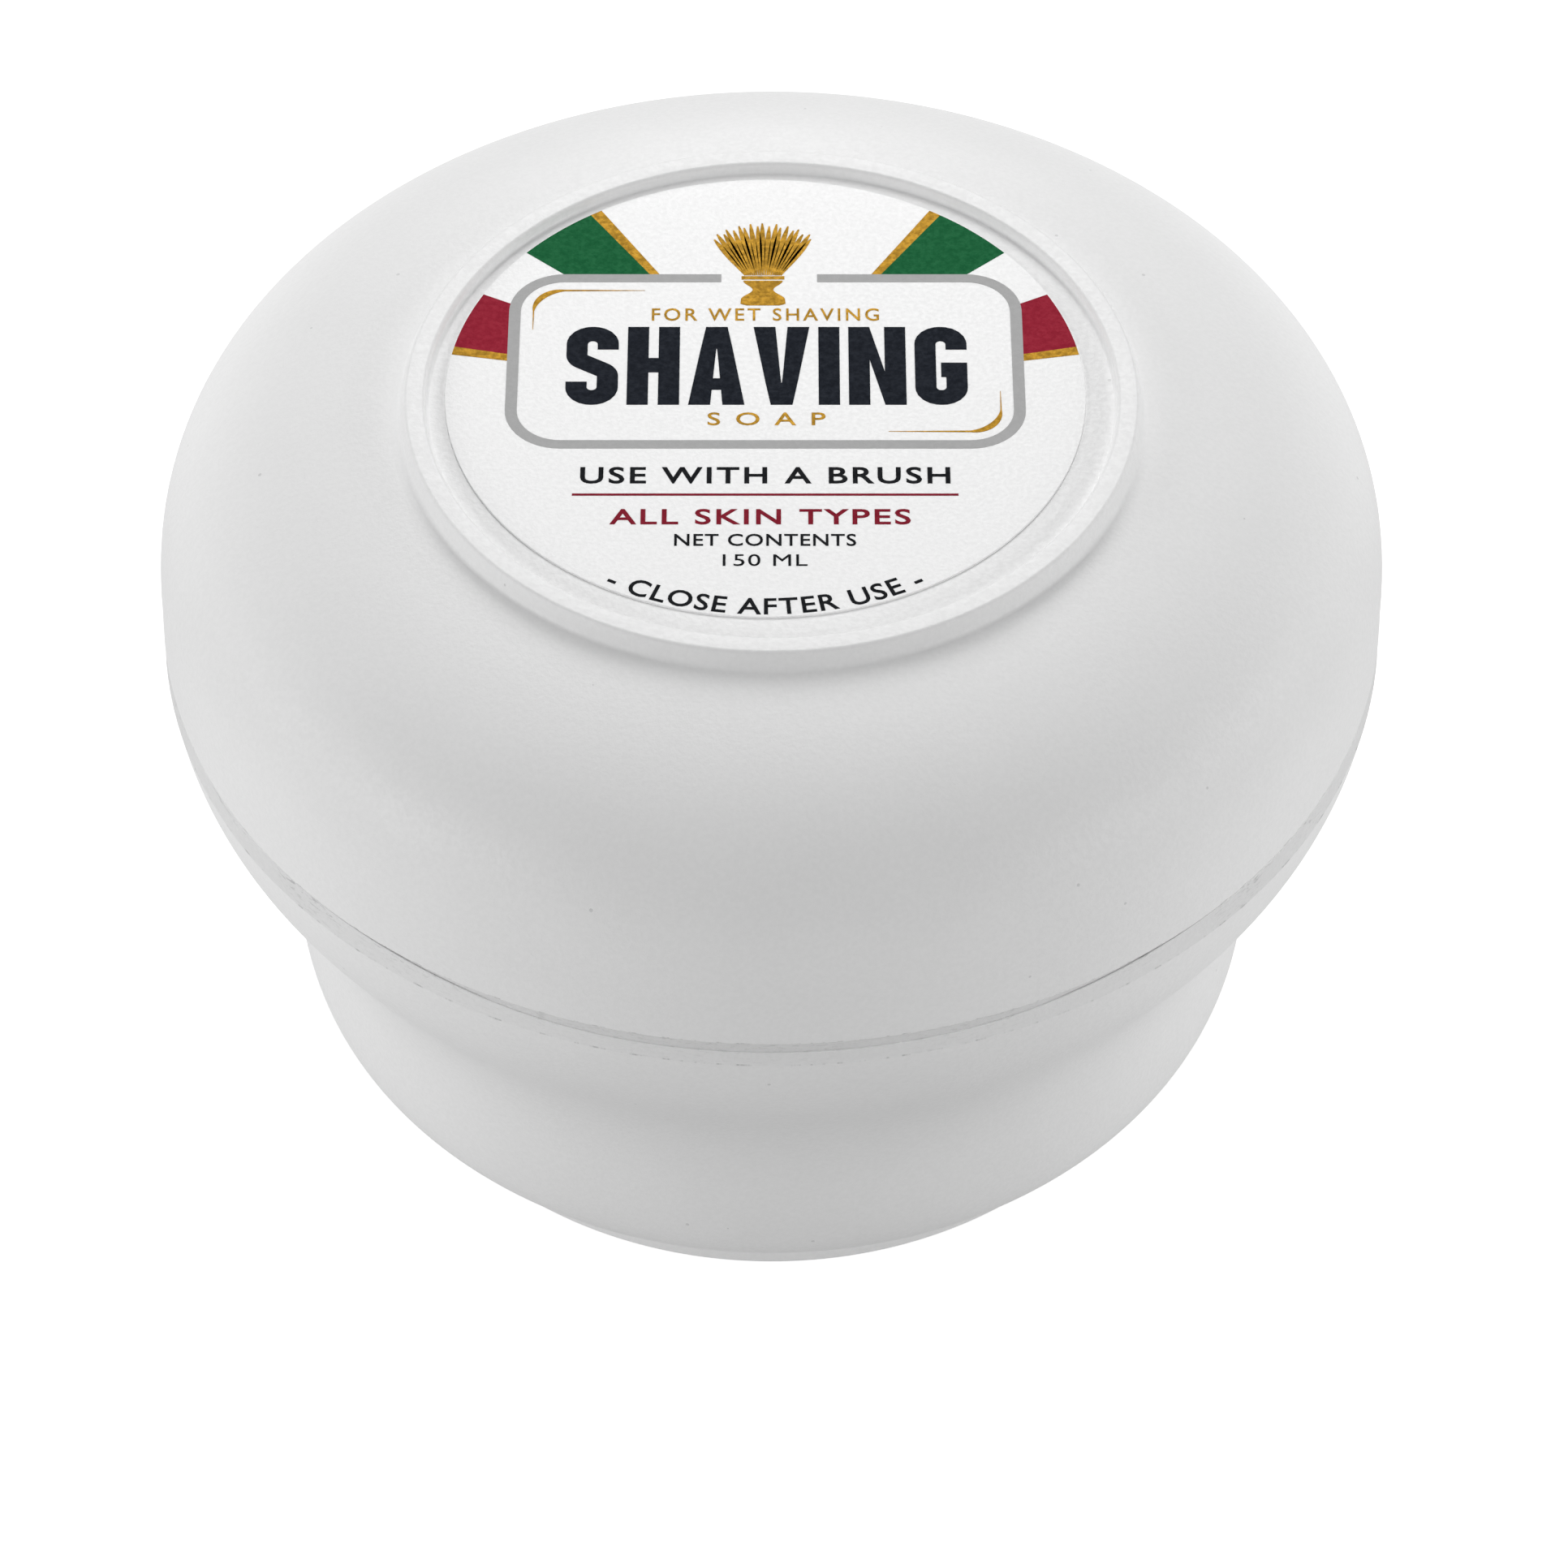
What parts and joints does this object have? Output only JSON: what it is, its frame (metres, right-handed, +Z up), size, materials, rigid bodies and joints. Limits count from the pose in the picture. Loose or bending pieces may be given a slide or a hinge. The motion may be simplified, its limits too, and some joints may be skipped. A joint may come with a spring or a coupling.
{
  "type": "shaving soap in a screw-lid bowl",
  "caption": "Round white plastic bowl holding a poured cake of shaving soap, closed by a domed screw lid with a raised ring around a printed label.",
  "frame": {"origin": "centre of the foot ring's underside", "axes": "+Z up along the axis that the bowl and lid are turned about; -Y is the front, towards a reader of the lid's label"},
  "size_m": [0.1, 0.1, 0.0677],
  "materials": {
    "bowl": "fine satin moulding",
    "soap": "smooth waxy",
    "base_label": "coated paper",
    "liner": "closed-cell foam",
    "lid": "fine satin moulding",
    "top_label": "satin film with printed inks"
  },
  "bodies": {
    "bowl": {"bowl": "bowl", "soap": "soap", "base_label": "base_label"},
    "liner": {"liner": "liner"},
    "lid": {"lid": "lid", "top_label": "top_label"}
  },
  "joints": [
    {"name": "lid_lift", "type": "slide", "parent": "bowl", "child": "liner", "axis": [0, 0, 1], "range_m": [0, 0.02]},
    {"name": "lid_turn", "type": "hinge", "parent": "liner", "child": "lid", "pos_m": [0, 0, 0.05], "axis": [0, 0, 1], "range_deg": [0, 1440]}
  ],
  "couplings": [
    {"joint": "lid_lift", "follows": "lid_turn", "m_per_rad": 0.00079577}
  ]
}
